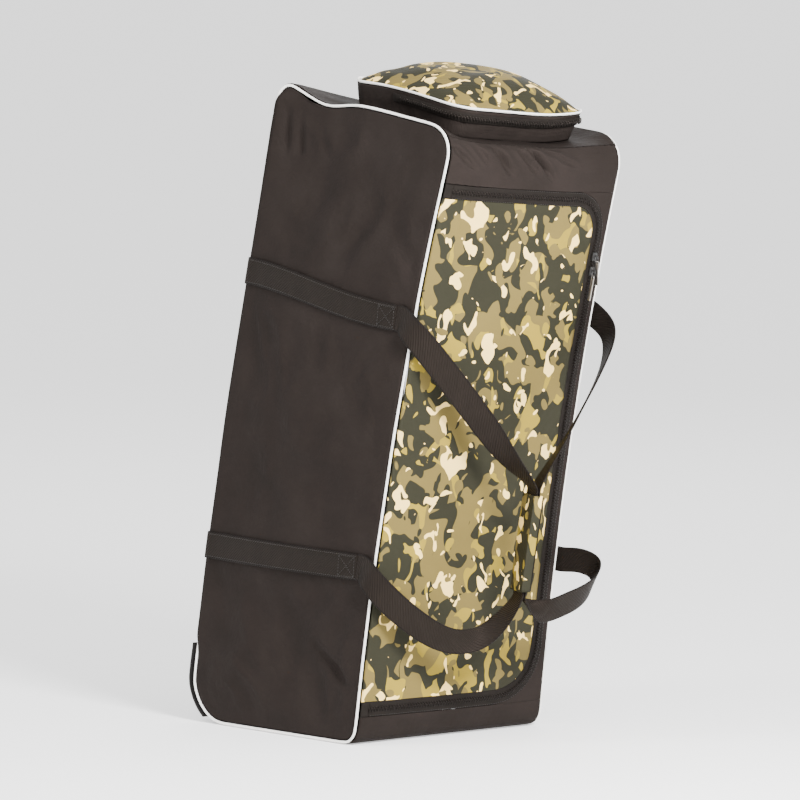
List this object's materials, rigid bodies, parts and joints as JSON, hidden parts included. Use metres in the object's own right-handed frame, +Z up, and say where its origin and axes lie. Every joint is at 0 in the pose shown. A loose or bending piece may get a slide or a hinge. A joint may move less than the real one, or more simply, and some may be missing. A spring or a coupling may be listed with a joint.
{
  "type": "cricket kit bag",
  "caption": "Soft hollow duffel-type kit bag standing on its end, with a zipped front flap, an end pocket, woven strap bands and two carrying handles joined by a grip.",
  "frame": {"origin": "bottom centre of the bag's bounds, at the level of the surface that it stands on", "axes": "+Z up along the standing bag, the zipped flap faces -Y, +X to the flap's right"},
  "size_m": [0.434, 0.5258, 0.9557],
  "materials": {
    "black_cloth": "woven polyester, slightly coated, soft sheen",
    "camouflage_cloth": "woven polyester printed with a common camouflage pattern",
    "white_piping": "smooth white piping cord",
    "guard_cloth": "black coated guard cloth, satin",
    "zip_tape": "black zip tape with a moulded coil",
    "webbing": "black ribbed woven webbing",
    "black_metal": "black painted die-cast",
    "pale_metal": "pale satin metal"
  },
  "bodies": {
    "root": {"side_panel_left": "black_cloth", "side_panel_right": "black_cloth", "base_panel": "black_cloth", "back_panel": "black_cloth", "top_panel": "black_cloth", "front_top_panel": "black_cloth", "front_side_strip": "black_cloth", "front_base_band": "black_cloth", "pocket_wall": "black_cloth", "front_flap": "camouflage_cloth", "pocket_lid": "camouflage_cloth", "grip_wrap": "camouflage_cloth", "piping_left": "white_piping", "piping_right": "white_piping", "pocket_piping": "white_piping", "skid_guard": "guard_cloth", "main_zip": "zip_tape", "pocket_zip": "zip_tape", "zip_end_upper": "webbing", "zip_end_lower": "webbing", "strap_band_upper": "webbing", "strap_band_lower": "webbing", "handle_left": "webbing", "handle_right": "webbing", "zip_slider_upper": "black_metal", "zip_slider_lower": "black_metal", "pull_ring_upper": "black_metal", "pull_ring_lower": "black_metal", "pull_tab_upper": "pale_metal", "pull_tab_lower": "pale_metal"}
  },
  "joints": []
}
